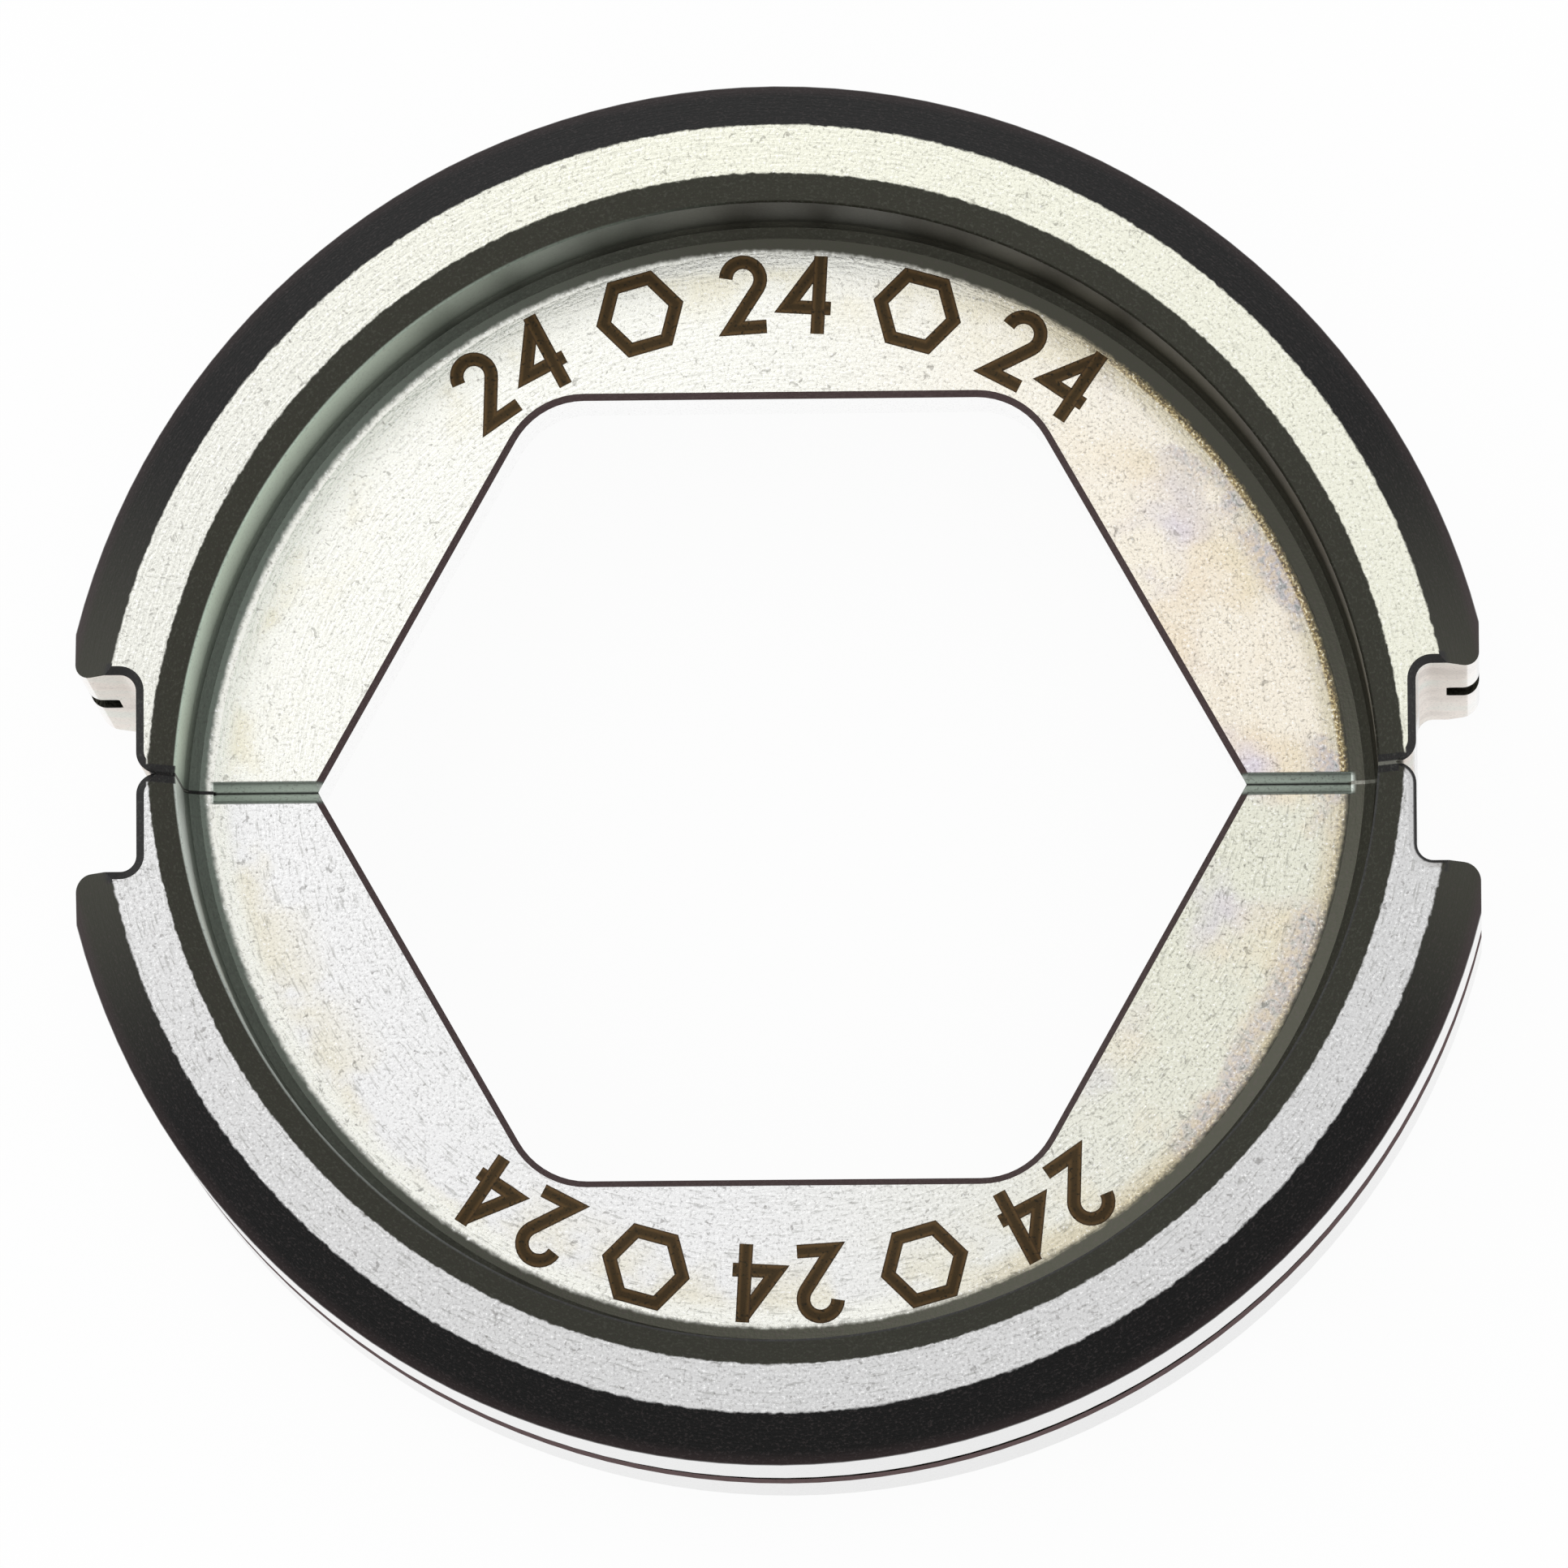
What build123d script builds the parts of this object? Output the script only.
from build123d import *
from math import cos, radians, sin, sqrt, tan
import os

# A hexagonal crimping die: two loose half-round shells that meet on the plane y = 0.
# Both lie on their rims with the bore along Z, and the origin is under the middle of the bore.

# Shell, the same for both halves
thickness = 16.0
outer_radius = 22.0
arc_centre_offset = 0.93
side_flat_depth = 0.67
flat_corner_radius = 0.5

# Raised rim, from its outer chamfer inwards
outer_chamfer_width = 1.45
outer_chamfer_depth = 1.95
rim_face_width = 1.48
inner_chamfer_width = 0.8
inner_chamfer_depth = 0.75

# Sunken web and the hexagonal nest through it
web_thickness = 4.0
web_corner_radius = 0.85
web_corner_facets = 3
nest_across_flats = 24.0
nest_across_corners = 28.4
nest_side_angle = 60.5
nest_corner_radius = 2.4
nest_edge_break = 0.2
web_parting_chamfer = 0.3

# Notches at both ends of the outside, and the rounded rim ends that they leave
notch_height = 3.0
notch_depth = 1.93
notch_corner_radius = 0.5
rim_end_radius = 0.65
rim_edge_break = 0.25

# Retaining groove round the middle of the outside
groove_width = 2.0
groove_depth = 1.3
groove_edge_break = 0.12

# What follows from these: the rim's edges, half the width at the flats and the notches, the middle plane
rim_face_outer_radius = outer_radius - outer_chamfer_width
rim_face_inner_radius = rim_face_outer_radius - rim_face_width
rim_wall_radius = rim_face_inner_radius - inner_chamfer_width
half_width = outer_radius - side_flat_depth
half_notch = half_width - notch_depth
middle = thickness / 2


def shell_section():
    """Upper half of the shell's section, x out from the axis and y up the thickness, mirrored down."""
    web_face = middle + web_thickness / 2
    groove_side = middle + groove_width / 2
    groove_floor = outer_radius - groove_depth
    # The round corner between web and wall is turned as a few short tapers
    corner = []
    for step in range(web_corner_facets + 1):
        angle = radians(90 * step / web_corner_facets)
        across = rim_wall_radius - web_corner_radius * (1 - sin(angle))
        corner.append((across, web_face + web_corner_radius * (1 - cos(angle))))
    points = [
        (0, web_face),
        *corner,
        (rim_wall_radius, thickness - inner_chamfer_depth),
        (rim_face_inner_radius, thickness),
        (rim_face_outer_radius, thickness),
        (outer_radius, thickness - outer_chamfer_depth),
        (outer_radius, groove_side + groove_edge_break),
        (outer_radius - groove_edge_break, groove_side),
        (groove_floor, groove_side),
        (groove_floor, middle),
        (0, middle),
    ]
    upper = make_face(Polyline(*points, close=True))
    return upper + mirror(upper, about=Plane.XZ.offset(-middle))


def shell_plan():
    """Outline of one half seen along the bore: flats at the sides, a notch at each end."""
    points = [
        (half_notch, 0),
        (half_notch, notch_height),
        (half_width, notch_height),
        (half_width, outer_radius),
        (-half_width, outer_radius),
        (-half_width, notch_height),
        (-half_notch, notch_height),
        (-half_notch, 0),
    ]
    plan = make_face(Polyline(*points, close=True))

    def corners(x, y):
        return [v for v in plan.vertices() if abs(abs(v.X) - x) < 0.01 and abs(v.Y - y) < 0.01]

    plan = fillet(corners(half_notch, 0), rim_end_radius)
    plan = fillet(corners(half_notch, notch_height), notch_corner_radius)
    return fillet(corners(half_width, notch_height), flat_corner_radius)


def shell_block():
    """The plan stood up to the full thickness, its edges broken as they are at the rim's ends."""
    block = extrude(shell_plan(), thickness)
    return chamfer(flat_edges(block, [0, thickness]), rim_edge_break)


def nest_plan():
    """Hexagon with two corners on the parting plane and the other four rounded."""
    half_height = nest_across_flats / 2
    half_corners = nest_across_corners / 2
    half_flat = half_corners - half_height / tan(radians(nest_side_angle))
    points = [
        (half_corners, 0),
        (half_flat, half_height),
        (-half_flat, half_height),
        (-half_corners, 0),
        (-half_flat, -half_height),
        (half_flat, -half_height),
    ]
    plan = make_face(Polyline(*points, close=True))
    rounded = [v for v in plan.vertices() if abs(v.Y) > half_height / 2]
    return fillet(rounded, nest_corner_radius)


def flat_edges(solid, heights):
    """Edges that lie wholly at one of the given heights."""
    chosen = []
    for edge in solid.edges():
        box = edge.bounding_box()
        if any(abs(box.min.Z - z) < 0.001 and abs(box.max.Z - z) < 0.001 for z in heights):
            chosen.append(edge)
    return chosen


def reach(edge):
    """How far an edge gets from the middle, sideways."""
    box = edge.bounding_box()
    return max(-box.min.X, box.max.X)


def break_web_edges(half, web_faces):
    """Bevel the web's flat part along the parting plane, then chamfer it all round the nest."""
    flat_reach = sqrt((rim_wall_radius - web_corner_radius) ** 2 - arc_centre_offset**2)
    bar_side = sqrt(2) * web_parting_chamfer
    for height in web_faces:
        half = half - Pos(0, 0, height) * Rot(45, 0, 0) * Box(2 * flat_reach, bar_side, bar_side)
    nest_reach = nest_across_corners / 2 + 0.001
    nest_edges = [e for e in flat_edges(half, web_faces) if reach(e) < nest_reach]
    return chamfer(nest_edges, nest_edge_break)


def die_half():
    """The half above the parting plane: turned, cut to its plan, the nest cut through, edges broken."""
    turned = revolve(Plane.XZ * shell_section(), Axis.Z, 360)
    half = Pos(0, -arc_centre_offset, 0) * turned & shell_block()
    half = half - extrude(nest_plan(), thickness)
    return break_web_edges(half, [middle - web_thickness / 2, middle + web_thickness / 2])


# The lower half is the same shell turned half a turn about the bore
upper_die_half = die_half()
lower_die_half = Rot(0, 0, 180) * upper_die_half

os.makedirs("parts", exist_ok=True)
export_step(upper_die_half, "parts/upper_die_half.step")
export_step(lower_die_half, "parts/lower_die_half.step")
